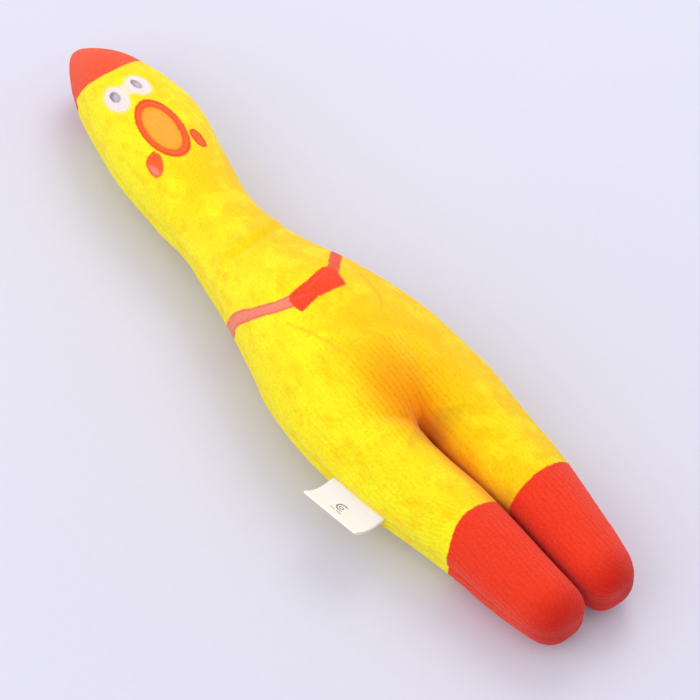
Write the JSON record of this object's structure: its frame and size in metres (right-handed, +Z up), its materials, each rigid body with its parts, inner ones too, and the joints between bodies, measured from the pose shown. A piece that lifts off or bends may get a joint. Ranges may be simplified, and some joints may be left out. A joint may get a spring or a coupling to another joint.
{
  "type": "stuffed plush chicken",
  "caption": "Soft stuffed plush chicken in the rubber-chicken shape, with a bending neck, two floppy legs and a squeaker inside.",
  "frame": {"origin": "middle of the underside, on the surface the toy lies on", "axes": "+Z up and out of the face and chest, +Y towards the head along the length, +X towards the side without the care label"},
  "size_m": [0.0805, 0.2999, 0.0432],
  "materials": {
    "velour": "matte",
    "fibre_filling": "matte",
    "label_tape": "satin",
    "thread": "satin",
    "squeaker_plastic": "satin",
    "reed_plastic": "satin"
  },
  "bodies": {
    "torso": {"front_panel_body": "velour", "back_panel_body": "velour", "filling_body_front": "fibre_filling", "filling_body_back": "fibre_filling", "front_panel_neck": "velour", "back_panel_neck": "velour", "filling_neck": "fibre_filling", "front_panel_left_hip": "velour", "back_panel_left_hip": "velour", "filling_left_hip": "fibre_filling", "front_panel_right_hip": "velour", "back_panel_right_hip": "velour", "filling_right_hip": "fibre_filling", "squeaker_bulb_lower": "squeaker_plastic", "reed_holder": "reed_plastic", "reed": "reed_plastic", "care_label": "label_tape", "closing_stitches": "thread"},
    "head": {"front_panel_head": "velour", "back_panel_head": "velour", "filling_head": "fibre_filling"},
    "left_leg": {"front_panel_left_leg": "velour", "back_panel_left_leg": "velour", "filling_left_leg": "fibre_filling"},
    "right_leg": {"front_panel_right_leg": "velour", "back_panel_right_leg": "velour", "filling_right_leg": "fibre_filling"},
    "squeaker_top": {"squeaker_bulb_upper": "squeaker_plastic"}
  },
  "joints": [
    {"name": "neck_bend", "type": "hinge", "parent": "torso", "child": "head", "pos_m": [-0.004, 0.045, 0.018], "axis": [1, 0, 0], "range_deg": [-40, 60], "stiffness_Nm_per_rad": 0.1, "deforming": ["front_panel_neck", "back_panel_neck", "filling_neck"]},
    {"name": "left_leg_swing", "type": "hinge", "parent": "torso", "child": "left_leg", "pos_m": [-0.017, -0.075, 0.0175], "axis": [-1, 0, 0], "range_deg": [-40, 60], "stiffness_Nm_per_rad": 0.06, "deforming": ["front_panel_left_hip", "back_panel_left_hip", "filling_left_hip"]},
    {"name": "right_leg_swing", "type": "hinge", "parent": "torso", "child": "right_leg", "pos_m": [0.017, -0.075, 0.0175], "axis": [-1, 0, 0], "range_deg": [-40, 60], "stiffness_Nm_per_rad": 0.06, "deforming": ["front_panel_right_hip", "back_panel_right_hip", "filling_right_hip"]},
    {"name": "squeaker_press", "type": "slide", "parent": "torso", "child": "squeaker_top", "axis": [0, 0, -1], "range_m": [0, 0.005], "stiffness_N_per_m": 400}
  ]
}
